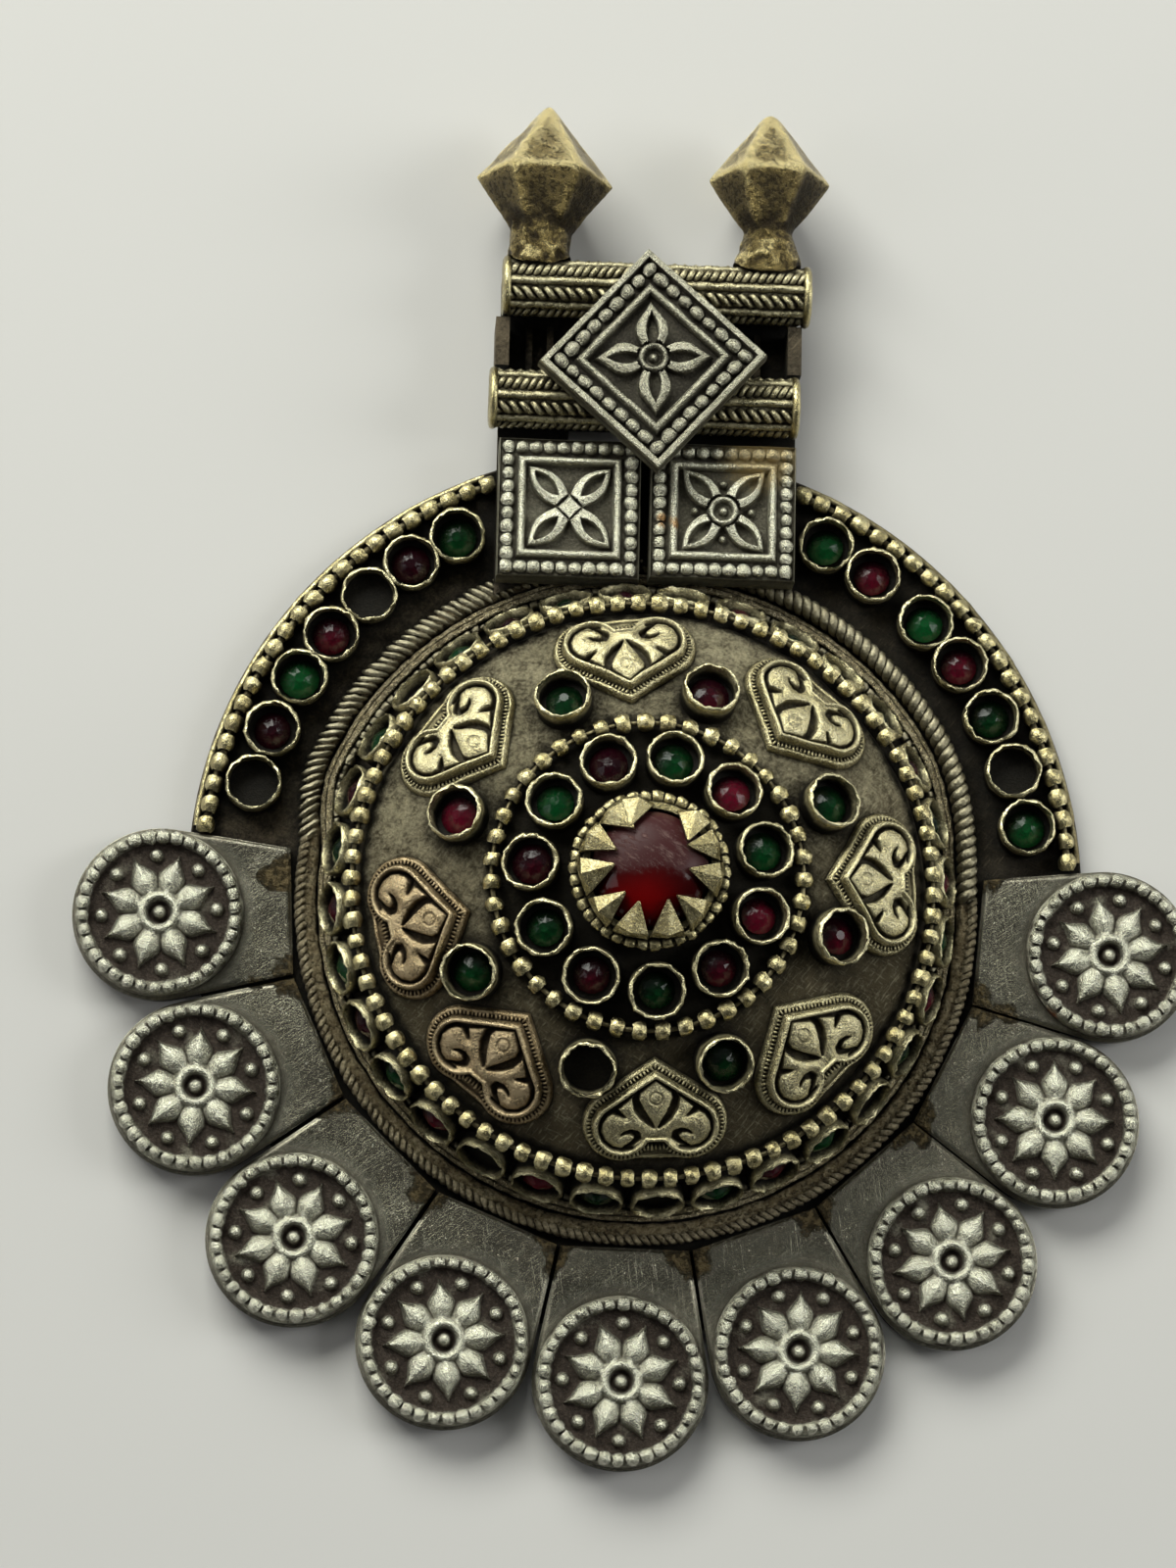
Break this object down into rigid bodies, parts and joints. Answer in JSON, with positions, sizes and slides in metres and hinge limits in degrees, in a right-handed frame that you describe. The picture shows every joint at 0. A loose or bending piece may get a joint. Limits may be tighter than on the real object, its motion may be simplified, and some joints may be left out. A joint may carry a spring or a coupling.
{
  "type": "pendant",
  "caption": "Round domed metal pendant set with small glass stones, with flat rosette tabs along its lower edge and a hanger of two crosswise tubes under cast finials.",
  "frame": {"origin": "on the dome's axis, in the plane of the base plate's back face", "axes": "+Z out of the dome towards the viewer, +Y towards the hanger and the finials, +X to the viewer's right"},
  "size_m": [0.0687, 0.0846, 0.0153],
  "materials": {
    "dark_ground": "dark patina",
    "worn_silver": "worn, tarnished in the recesses",
    "yellow_brass": "worn, dark in the recesses",
    "cast_brass": "cast, polished by wear",
    "red_glass": "gloss",
    "green_glass": "gloss"
  },
  "bodies": {
    "root": {"base_plate": "dark_ground", "dome_shell": "dark_ground", "hanger_frame": "dark_ground", "border_rope": "worn_silver", "border_strip": "worn_silver", "border_fine_wire": "worn_silver", "upper_tube": "worn_silver", "lower_tube": "worn_silver", "diamond_plaque": "worn_silver", "square_plaque_left": "worn_silver", "square_plaque_right": "worn_silver", "tab_1": "worn_silver", "tab_2": "worn_silver", "tab_3": "worn_silver", "tab_4": "worn_silver", "tab_5": "worn_silver", "tab_6": "worn_silver", "tab_7": "worn_silver", "tab_8": "worn_silver", "tab_9": "worn_silver", "medallion_1": "worn_silver", "medallion_2": "worn_silver", "medallion_3": "worn_silver", "medallion_4": "worn_silver", "medallion_5": "worn_silver", "medallion_6": "worn_silver", "medallion_7": "worn_silver", "medallion_8": "worn_silver", "medallion_9": "worn_silver", "rim_wire_left": "yellow_brass", "rim_wire_right": "yellow_brass", "outer_bead_ring": "yellow_brass", "inner_bead_ring": "yellow_brass", "centre_bezel": "yellow_brass", "plate_collets_left": "yellow_brass", "plate_collets_right": "yellow_brass", "crown_collets": "yellow_brass", "heart_collets": "yellow_brass", "wall_collets": "yellow_brass", "heart_1": "yellow_brass", "heart_2": "yellow_brass", "heart_3": "yellow_brass", "heart_4": "yellow_brass", "heart_5": "yellow_brass", "heart_6": "yellow_brass", "heart_7": "yellow_brass", "heart_8": "yellow_brass", "finial_left": "cast_brass", "finial_right": "cast_brass", "centre_stone": "red_glass", "plate_stones_red": "red_glass", "crown_stones_red": "red_glass", "wall_stones_red": "red_glass", "plate_stones_green": "green_glass", "crown_stones_green": "green_glass", "wall_stones_green": "green_glass"}
  },
  "joints": []
}
